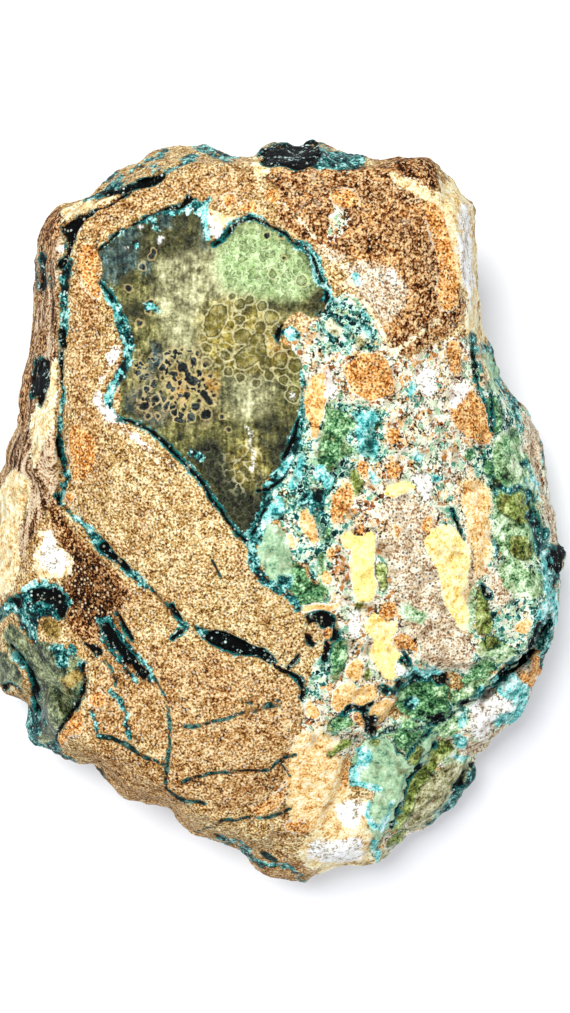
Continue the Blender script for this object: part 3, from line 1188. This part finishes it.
def cad_mesh():
    """The CAD solid's points in mm and its triangles."""
    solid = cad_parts["specimen"].data
    solid.calc_loop_triangles()
    points = np.empty(len(solid.vertices) * 3)
    solid.vertices.foreach_get("co", points)
    triangles = np.empty(len(solid.loop_triangles) * 3, np.int32)
    solid.loop_triangles.foreach_get("vertices", triangles)
    points = points.reshape(-1, 3) / MM
    _, first, same = np.unique(
        np.round(points, 3), axis=0, return_index=True, return_inverse=True
    )
    triangles = same.reshape(-1)[triangles].reshape(-1, 3).astype(np.int64)
    a, b, c = triangles.T
    return points[first], triangles[(a != b) & (b != c) & (c != a)]


def stone_form():
    """The refined form of the stone before its fine relief."""

    def coarse(p):
        return np.where(p[:, 2] < BASE_BAND, BASE_EDGE, COARSE_EDGE)

    points, triangles = split(*cad_mesh(), coarse)
    points = relaxed_above_base(points, triangles, 0.5)
    in_sight = shown_lookup(points, facing_eye(points, normals_of(points, triangles)))

    def wanted(p):
        at = on_plan(p)
        shown = in_sight(p)
        edge = np.where(shown, TOP_EDGE, SIDE_EDGE)
        edge = np.where(p[:, 2] < BASE_BAND, BASE_EDGE, edge)
        edge = np.where(shown & (vein_depth(at) > -0.5), FINEST_EDGE, edge)
        in_pocket = shown & (area_depth(at, numbers(POCKET)) > -2)
        return np.where(in_pocket, np.minimum(edge, POCKET_EDGE), edge)

    points, triangles = split(points, triangles, wanted)
    return relaxed_above_base(points, triangles, 0.4), triangles


# ----------------------------------------------------------------------------------------------
# Relief and colour fields


def mineral_depths(points, steep, hidden):
    """How far each point is inside each mineral, in mm, on every side of the stone."""
    at = on_plan(points) + rough_on_plan(points, 5.0, 100, 2) * 1.6
    at += rough_on_plan(points, 13.0, 150, 3) * (steep**1.3 * 12)[:, None]
    far_warp = np.stack([waves(points, 24.0, 200 + 10 * k) for k in range(2)], axis=1)
    at += far_warp * hidden[:, None] * 26
    field = depths(at)

    # Out of the camera's sight the same minerals go on, thinned out and joined by more.
    for name in field:
        thinned = 8 if name.startswith("pocket") else 2
        field[name] -= thinned * hidden
    for index, name in enumerate(COAT_NAMES):
        if name != "pocket":
            field[name] += steep**1.5 * 1.4 * rough(points, 5.0, 430 + index % 3 * 10, 2)
    for name in ("teal", "black"):
        field[name] += 0.35 * rough(points, 3.5, 460, 2)
    seams = 1.6 * rough(points, 6.0, 305, 2) - 14 * np.abs(waves(points, 30.0, 304))
    patches = {
        "brown": (waves(points, 34.0, 301) - 0.12) * 20,
        "green": (waves(points, 26.0, 302) - 0.42) * 20,
        "cream": (waves(points, 30.0, 303) - 0.30) * 20,
        "teal": seams + 0.2,
        "black": seams - 0.7,
    }
    for name, patch in patches.items():
        patch = np.where(hidden > 0, patch - 6 * (1 - hidden), -FAR)
        field[name] = np.maximum(field[name], patch)
    return field


def relief(points, field, steep, hidden):
    """How far each point moves out along its normal, in mm."""
    inside = {name: eased(depth, -0.3, 0.6) for name, depth in field.items()}
    crumbs = np.clip(1 - (nearest_seed(points, 3.2, 404) / 2.2) ** 2, 0, 1)
    crusts = [inside[name] for name in ("green", "mint", "olive", "cyan", "teal")]

    # The rock's own grain and lumps, and rougher flanks.
    height = 0.22 * rough(points, 3.0, 405, 2) + 0.12 * (0.8 - nearest_seed(points, 1.6, 403))
    height += 0.55 * rough(points, 11.0, 406, 2) * (0.35 + 0.65 * hidden)
    height += 1.2 * rough(points, 9.0, 412, 3) * eased(steep, 0.3, 0.8)
    height += 0.5 * np.abs(rough(points, 6.0, 414, 2)) * eased(steep, 0.4, 0.9)

    # Each mineral's: ledges, fragments, crusts that stand proud and veins that are sunk.
    height += inside["strata"] * 0.6 * rough(points * (0.12, 0.12, 1.0), 3.0, 413, 2)
    height += inside["groundmass"] * (0.75 * rough(points, 6.5, 407, 2) + 0.35 * crumbs - 0.1)
    height += inside["grit"] * 0.35 * rough(points, 4.0, 408, 2)
    height += np.maximum.reduce(crusts) * (0.7 * crumbs - 0.25)
    height += 0.45 * inside["yellow"] + 0.25 * inside["ochre"] + 0.2 * inside["orange"]
    height -= 0.9 * inside["black"] + 0.15 * inside["teal"]
    calm = inside["pocket"] * (1 - inside["teal"]) * (1 - inside["black"])
    height *= 1 - 0.85 * calm

    # Bubbles of the glassy pocket: wide in the golden part, small elsewhere.
    small = np.clip(1 - (nearest_seed(points, 2.1, 410) / 1.4) ** 2, 0, 1)
    wide = np.clip(1 - (nearest_seed(points, 5.5, 411) / 3.5) ** 2, 0, 1)
    golden = eased(field["pocket_gold"], -1, 2) > 0.5
    height += calm * (0.28 * np.where(golden, wide, small) - 0.1)
    return np.where(points[:, 2] < BASE_BAND, 0, height)


def strongest(field, weights):
    """The strongest of several minerals at each point, each fading out over 4.6 mm."""
    return np.maximum.reduce(
        [weight * np.clip(1 + field[name] / 4.6, 0, 1) ** 2 for name, weight in weights.items()]
    )


def dressed(points, triangles):
    """The points moved into the stone's fine relief, and the fields that its colours read."""
    normals = normals_of(points, triangles)
    facing = facing_eye(points, normals)
    steep = 1 - np.clip(facing, 0, 1)
    hidden = eased(-facing, -0.02, 0.25)
    field = mineral_depths(points, steep, hidden)
    height = relief(points, field, steep, hidden)

    iron = {"orange": 1, "brown": 0.9, "ochre": 0.6, "pinkish": 0.5, "grit": 0.6}
    copper = {"teal": 1, "cyan": 1, "green": 1, "mint": 0.8, "olive": 0.8}
    moss = 1.4 * eased(field.pop("moss"), -2.5, 1.5)
    field["bias"] = 0.8 * strongest(field, copper) - strongest(field, iron) + moss
    field["cavity"] = height - relaxed(height[:, None], triangles, 0.6, 12)[:, 0]
    field["stain"] = rough(points, 8.0, 420, 3)
    field["medium"] = rough(points, 5.0, 401, 3)
    field["broad"] = rough(points, 40.0, 402, 2)

    moved = points + normals * height[:, None]
    resting = points[:, 2] < BASE_BAND
    moved[:, 2] = np.where(resting, points[:, 2], np.maximum(moved[:, 2], LEAST_HEIGHT))
    return moved, field


# ----------------------------------------------------------------------------------------------
# Material


def linear(red, green, blue):
    """A colour's linear values from its sRGB ones out of 255."""
    parts = [value / 255 for value in (red, green, blue)]
    return [v / 12.92 if v <= 0.04045 else ((v + 0.055) / 1.055) ** 2.4 for v in parts] + [1.0]


class Nodes:
    """A material's node tree, with short calls for the nodes that this script uses."""

    def __init__(self, name):
        self.material = bpy.data.materials.new(name)
        self.material.use_nodes = True
        self.tree = self.material.node_tree
        self.shader = self.tree.nodes["Principled BSDF"]

    def put(self, value, socket):
        if isinstance(value, bpy.types.NodeSocket):
            self.tree.links.new(value, socket)
        else:
            socket.default_value = value

    def add(self, kind, settings=None, **inputs):
        node = self.tree.nodes.new(kind)
        for name, value in (settings or {}).items():
            setattr(node, name, value)
        for name, value in inputs.items():
            self.put(value, node.inputs[name])
        return node

    def sum(self, operation, *values):
        node = self.add("ShaderNodeMath", {"operation": operation})
        for socket, value in zip(node.inputs, values):
            self.put(value, socket)
        return node.outputs[0]

    def times(self, a, b):
        return self.sum("MULTIPLY", a, b)

    def times_plus(self, a, b, c):
        """a times b, plus c."""
        return self.sum("MULTIPLY_ADD", a, b, c)

    def field(self, name):
        return self.add("ShaderNodeAttribute", {"attribute_name": name}).outputs["Fac"]

    def step(self, value, low, high):
        """A smooth step from 0 at low to 1 at high; low may be the larger one."""
        node = self.add("ShaderNodeMapRange", {"interpolation_type": "SMOOTHSTEP"}, Value=value)
        node.inputs["From Min"].default_value = low
        node.inputs["From Max"].default_value = high
        return node.outputs["Result"]

    def band(self, value, centre, outer, inner):
        """1 closer than inner to the centre, fading to 0 at outer."""
        if centre:
            value = self.sum("ADD", value, -centre)
        return self.step(self.sum("ABSOLUTE", value), outer, inner)

    def mix(self, share, a, b, blend="MIX"):
        node = self.add("ShaderNodeMix", {"data_type": "RGBA", "blend_type": blend})
        self.put(share, node.inputs[0])
        self.put(a, node.inputs[6])
        self.put(b, node.inputs[7])
        return node.outputs[2]

    def tinted(self, base, mask, share, tint):
        """The base colour with a share of a plain tint where the mask is 1."""
        return self.mix(self.times(mask, share), base, linear(*TINTS[tint]))

    def blend(self, share, a, b):
        node = self.add("ShaderNodeMix", {"data_type": "FLOAT"})
        self.put(share, node.inputs[0])
        self.put(a, node.inputs[2])
        self.put(b, node.inputs[3])
        return node.outputs[0]

    def ramp(self, share, name):
        """The named finish's colour for a share from 0 to 1."""
        node = self.add("ShaderNodeValToRGB", Fac=share)
        elements = node.color_ramp.elements
        stops = numbers(FINISHES[name])
        while len(elements) < len(stops):
            elements.new(0.5)
        for element, (*colour, position) in zip(elements, stops):
            element.position = position
            element.color = linear(*colour)
        return node.outputs["Color"]

    def noise(self, vector, scale, **detail):
        """Noise of a named scale, round 0."""
        node = self.add("ShaderNodeTexNoise", Vector=vector, Scale=SCALES[scale], **detail)
        return self.sum("SUBTRACT", node.outputs["Fac"], 0.5)

    def cells(self, vector, scale, **settings):
        """Cells of a named scale."""
        return self.add("ShaderNodeTexVoronoi", settings, Vector=vector, Scale=SCALES[scale])

    def own(self, cells):
        """Each cell's own number from 0 to 1."""
        return self.add("ShaderNodeSeparateColor", Color=cells.outputs["Color"]).outputs[0]

    def pushed(self, vector, scale, reach):
        """The vector pushed about by noise of a named scale, by up to reach metres."""
        push = self.add("ShaderNodeTexNoise", Vector=vector, Scale=SCALES[scale], Detail=2.0)
        node = self.add("ShaderNodeVectorMath", {"operation": "MULTIPLY_ADD"})
        for socket, value in zip(node.inputs, (push.outputs["Color"], (reach,) * 3, vector)):
            self.put(value, socket)
        return node.outputs[0]

    def scaled(self, vector, scale, turn=None):
        """The vector scaled along its axes, or stretched along turned ones."""
        node = self.add("ShaderNodeMapping", Vector=vector, Scale=scale)
        if turn is not None:
            node.vector_type = "TEXTURE"
            node.inputs["Rotation"].default_value = (0.0, 0.0, math.radians(turn))
        return node.outputs[0]


def noises(n):
    """The noises, cells and specks that the stone's colours share."""
    place = n.add("ShaderNodeTexCoord").outputs["Object"]
    grain = n.cells(place, "grain")
    own_grain = n.sum("SUBTRACT", n.own(grain), 0.5)
    near_grain = n.step(grain.outputs["Distance"], 0.50, 0.28)
    return SimpleNamespace(
        fine=n.noise(place, "fine", Detail=2.0, Roughness=0.7),
        blotch=n.noise(place, "blotch", Detail=3.0, Roughness=0.65),
        streak=n.noise(n.scaled(place, (1.0, 0.16, 1.0)), "streak", Detail=1.0),
        layer=n.noise(
            n.scaled(place, (0.14, 0.10, 1.0)), "layer", Detail=3.0, Roughness=0.6
        ),
        fibre=n.noise(
            n.scaled(place, (1.0, 1.9, 1.0), turn=-35.0), "fibre", Detail=2.0, Roughness=0.6
        ),
        medium=n.field("medium"),
        broad=n.field("broad"),
        stain=n.field("stain"),
        bent=n.pushed(place, "swirl", 0.0028),
        rippled=n.pushed(place, "ripple", 0.0034),
        grain=grain.outputs["Distance"],
        own_grain=own_grain,
        speck=n.times(near_grain, n.step(own_grain, 0.18, 0.24)),
        flake=n.times(near_grain, n.step(own_grain, -0.20, -0.26)),
        sparkle=n.times(near_grain, n.step(own_grain, -0.37, -0.41)),
    )


def grains_of(n, p):
    """For each kind of grain, the noise that runs through a finish's colours."""
    grains = {}
    for kind, shares in GRAINS.items():
        total = 0.5
        parts = (p.fine, p.own_grain, p.blotch, p.medium, p.broad)
        for part, share in zip(parts, shares):
            total = n.times_plus(part, share, total)
        grains[kind] = total
    grains["fibre"] = n.times_plus(p.fibre, 1.4, grains["fibre"])
    grains["layers"] = n.times_plus(p.layer, 1.5, n.times_plus(p.fine, 1.2, 0.5))
    return grains


def fragments(n, p, grains):
    """Small fragments: rust, sand and chalk where iron is near, copper green by copper."""
    bias = n.field("bias")
    own_piece = n.own(n.cells(p.bent, "piece"))
    rim = n.cells(p.bent, "piece", feature="DISTANCE_TO_EDGE").outputs["Distance"]
    mixed = n.times_plus(n.sum("SUBTRACT", own_piece, 0.5), 0.62, 0.46)
    mixed = n.times_plus(p.blotch, 0.5, n.times_plus(bias, 0.16, mixed))
    colour = n.ramp(mixed, "fragments")
    green_share = n.step(n.times_plus(p.blotch, 2.0, bias), 0.3, 1.1)
    cement = n.mix(
        green_share, n.ramp(grains["speckle"], "chalk"), n.ramp(grains["speckle"], "verdant")
    )
    colour = n.mix(n.step(n.times_plus(p.blotch, 0.25, rim), 0.12, 0.02), colour, cement)
    hollow = n.step(n.sum("ADD", p.blotch, p.fine), -0.16, -0.26)
    colour = n.tinted(colour, hollow, 1.0, "hollow")
    return n.mix(1.0, colour, n.ramp(grains["speckle"], "shade"), "MULTIPLY")


def zones(n, p, glassy):
    """The pocket's zones laid over each other, and each one's share."""
    soft = n.times_plus(p.blotch, 2.5, n.times(p.medium, 1.2))
    colour = n.ramp(glassy, "pocket")
    shares = {}
    for name, width in ZONES:
        shares[name] = n.step(n.sum("ADD", n.field(name), soft), -width / 2, width / 2)
        colour = n.mix(shares[name], colour, n.ramp(glassy, name))
    clouds = n.ramp(n.times_plus(p.medium, 0.24, n.times_plus(p.blotch, 0.5, 0.5)), "clouds")
    cloudy = n.sum("SUBTRACT", 1.0, n.times(shares["pocket_mint"], 0.7))
    return n.mix(cloudy, colour, clouds, "MULTIPLY"), shares


def pocket(n, p, grains):
    """The glassy pocket: its zones, bubbles, film, lobes and pits."""
    colour, shares = zones(n, p, n.times_plus(p.streak, 0.45, grains["glassy"]))
    bubble = n.cells(p.rippled, "bubble", voronoi_dimensions="2D")
    tiny = n.cells(p.rippled, "small bubble", voronoi_dimensions="2D")
    own_tiny = n.own(tiny)

    # Bubbles, clear in the mint zone and faint elsewhere.
    clear = n.sum("MAXIMUM", shares["pocket_mint"], 0.09)
    for found, own, size, strength in (
        (bubble, n.own(bubble), 0.30, 0.9), (tiny, own_tiny, 0.34, 0.7)
    ):
        inside = n.sum("SUBTRACT", n.times_plus(own, size, 0.08), found.outputs["Distance"])
        shown = n.times(clear, strength)
        film = n.times(n.band(inside, -0.14, 0.10, 0.02), shown)
        disc = n.times(n.step(inside, -0.02, 0.05), shown)
        ring = n.times(n.band(inside, 0, 0.10, 0.02), shown)
        colour = n.tinted(colour, film, 0.5, "bubble film")
        colour = n.tinted(colour, disc, 0.35, "bubble inside")
        colour = n.tinted(colour, ring, 0.8, "bubble ring")

    # The net of pale film, strongest in the golden zone.
    cell = n.cells(p.bent, "film", feature="DISTANCE_TO_EDGE", voronoi_dimensions="2D")
    film = n.step(cell.outputs["Distance"], 0.15, 0.03)
    film = n.times(film, n.step(p.blotch, -0.14, 0.06))
    film = n.times(film, n.times_plus(shares["pocket_gold"], 0.5, 0.06))
    colour = n.tinted(colour, film, 1.0, "pocket film")

    # The large lobes that are placed one by one.
    lobe = n.times_plus(p.blotch, 2.8, n.field("lobe"))
    colour = n.tinted(colour, n.step(lobe, -0.1, 0.1), 0.42, "lobe")
    colour = n.tinted(colour, n.band(lobe, -0.55, 0.35, 0.15), 0.42, "lobe film")
    colour = n.tinted(colour, n.band(lobe, 0, 0.32, 0.12), 0.6, "lobe line")

    # Dark pits, placed one by one and scattered, in a sandy patch.
    pitted_zone = n.field("pocket_pits")
    pitted = n.step(n.times_plus(p.blotch, 5.0, pitted_zone), -0.5, 1.5)
    dusted = n.step(n.times_plus(p.blotch, 6.0, pitted_zone), -3.0, 3.0)
    dust = n.times(dusted, n.step(n.times_plus(p.blotch, 1.4, own_tiny), 0.1, 0.9))
    colour = n.tinted(colour, dust, 0.62, "pit dust")
    pit = n.times_plus(p.blotch, 2.6, n.field("pit"))
    small = n.sum("SUBTRACT", n.times_plus(own_tiny, 0.55, -0.06), tiny.outputs["Distance"])
    small = n.times(n.step(n.times_plus(p.blotch, 1.1, small), -0.02, 0.06), pitted)
    colour = n.tinted(colour, n.band(pit, -0.4, 0.35, 0.1), 0.4, "pit edge")
    holes = n.sum("MAXIMUM", n.step(pit, -0.15, 0.2), small)
    return n.mix(holes, colour, n.ramp(grains["glaze"], "pit"))


def quartzite(n, p, grains):
    """The bare rock: sugary grains, rust stains, dark specks and pale flakes."""
    sugar = grains["sugar"]
    colour = n.ramp(sugar, "quartzite")
    rust = n.ramp(sugar, "rust")
    stained = n.step(n.times_plus(p.blotch, 1.6, p.stain), 0.05, 0.6)
    umber = n.step(n.times_plus(p.blotch, 6.0, n.field("umber")), -3.0, 3.0)
    colour = n.mix(n.times(stained, 0.55), colour, rust)
    colour = n.mix(n.times(umber, 0.6), colour, rust)
    colour = n.tinted(colour, p.speck, 0.75, "dark speck")
    return n.tinted(colour, p.flake, 0.5, "pale flake")


def minerals(n, p, grains):
    """Each coat's colour."""
    colours = {
        name: n.ramp(grains[kind], name) for name, kind, *_ in COATS if kind in grains
    }
    colours["groundmass"] = fragments(n, p, grains)
    colours["pocket"] = pocket(n, p, grains)

    # Some minerals are mixed with a neighbour in patches.
    patches = (
        ("brown", "grit", n.times_plus(p.blotch, 2.2, p.stain), -0.1, 0.7, 0.8),
        ("grit", "orange", n.times_plus(p.fibre, 2.0, p.medium), -0.1, 0.5, 0.6),
        ("grit", "pinkish", n.times_plus(p.fibre, 2.4, p.stain), -0.4, -1.0, 0.6),
        ("sage", "olive", p.stain, 0.2, 0.8, 1.0),
        ("green", "sage", p.stain, 0.3, 0.9, 1.0),
        ("khaki", "olive", p.stain, -0.1, -0.8, 1.0),
    )
    for name, other, noise, low, high, most in patches:
        share = n.times(n.step(noise, low, high), most)
        colours[name] = n.mix(share, colours[name], colours[other])
    for name in ("grit", "brown", "soot", "orange", "pinkish"):
        pale = p.sparkle if name == "brown" else p.flake
        colours[name] = n.tinted(colours[name], p.speck, 0.8, "rusty speck")
        colours[name] = n.tinted(colours[name], pale, 0.7, "sandy flake")
    for name, share in (("black", 0.85), ("teal", 0.8), ("glass", 0.25)):
        colours[name] = n.tinted(colours[name], p.sparkle, share, "sparkle")
    return colours


def stone_material():
    """The stone's minerals, laid over each other where their fields say."""
    n = Nodes("stone")
    n.shader.inputs["Specular IOR Level"].default_value = 0.1
    p = noises(n)
    grains = grains_of(n, p)
    colours = minerals(n, p, grains)
    colour = quartzite(n, p, grains)
    roughness = 0.8
    ragged_edge = n.times_plus(p.blotch, 2.0, n.times(p.fine, 1.4))
    patchy = n.step(n.times_plus(p.blotch, 2.0, p.stain), -0.25, 0.25)
    for name, _, shine, width, ragged in COATS:
        depth = n.times_plus(ragged_edge, ragged, n.field(name))
        if name in SEAMS:
            tint, wide = SEAMS[name]
            seam = n.step(depth, -width / 2 - wide, width / 2 - wide)
            colour = n.mix(n.times(seam, patchy), colour, linear(*tint))
        share = n.step(depth, -width / 2, width / 2)
        colour = n.mix(share, colour, colours[name])
        roughness = n.blend(share, roughness, shine)
    recess = n.ramp(n.times_plus(n.field("cavity"), 0.8, 0.5), "recess")
    n.put(n.mix(1.0, colour, recess, "MULTIPLY"), n.shader.inputs["Base Color"])
    n.put(roughness, n.shader.inputs["Roughness"])
    height = n.times_plus(p.fine, 1.0, n.times(p.grain, -0.3))
    height = n.times_plus(p.blotch, 0.8, height)
    bump = n.add("ShaderNodeBump", Strength=0.8, Distance=0.0005, Height=height)
    n.put(bump.outputs["Normal"], n.shader.inputs["Normal"])
    return n.material


# ----------------------------------------------------------------------------------------------
# Scene


def placed(name, data):
    """A new object of the scene."""
    thing = bpy.data.objects.new(name, data)
    bpy.context.scene.collection.objects.link(thing)
    return thing


def stone():
    """The dressed stone."""
    form, triangles = stone_form()
    points, field = dressed(form, triangles)
    mesh = bpy.data.meshes.new("specimen_stone")
    mesh.from_pydata(points * MM, [], triangles.tolist())
    mesh.shade_smooth()
    for name, values in field.items():
        attribute = mesh.attributes.new(name, "FLOAT", "POINT")
        attribute.data.foreach_set("value", values.astype(np.float32))
    mesh.materials.append(stone_material())
    piece = placed("specimen_stone", mesh)
    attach(piece, "root")
    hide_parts("specimen")


def table(side=2.0):
    """A plain pale table top, twice side metres wide."""
    n = Nodes("table")
    n.shader.inputs["Base Color"].default_value = linear(*TINTS["table"])
    n.shader.inputs["Roughness"].default_value = 0.6
    mesh = bpy.data.meshes.new("table")
    corners = [(-side, -side, 0), (side, -side, 0), (side, side, 0), (-side, side, 0)]
    mesh.from_pydata(corners, [], [(0, 1, 2, 3)])
    mesh.materials.append(n.material)
    floor = placed("table", mesh)


def light(name, place, size, power, aim=(0.0, 0.0, 0.03)):
    """A soft square lamp that shines on the stone."""
    lamp = bpy.data.lights.new(name, "AREA")
    lamp.size = size
    lamp.energy = power
    holder = placed(name, lamp)
    holder.location = place
    holder.rotation_euler = (Vector(aim) - Vector(place)).to_track_quat("-Z", "Y").to_euler()


def camera():
    """The photograph's view, straight down from above."""
    data = bpy.data.cameras.new("camera")
    data.lens = LENS
    data.sensor_width = SENSOR
    holder = placed("camera", data)
    holder.location = EYE * MM
    bpy.context.scene.camera = holder


def sky(strength):
    """A pale studio all round."""
    world = bpy.data.worlds.new("studio")
    world.use_nodes = True
    background = world.node_tree.nodes["Background"]
    background.inputs["Color"].default_value = linear(*TINTS["sky"])
    background.inputs["Strength"].default_value = strength
    bpy.context.scene.world = world


camera()
stone()
table()
light("key", (-0.28, 0.36, 1.0), 0.42, 10)
light("fill", (0.6, -0.5, 1.0), 0.9, 4)
sky(0.6)
bpy.context.scene.view_settings.view_transform = "Standard"
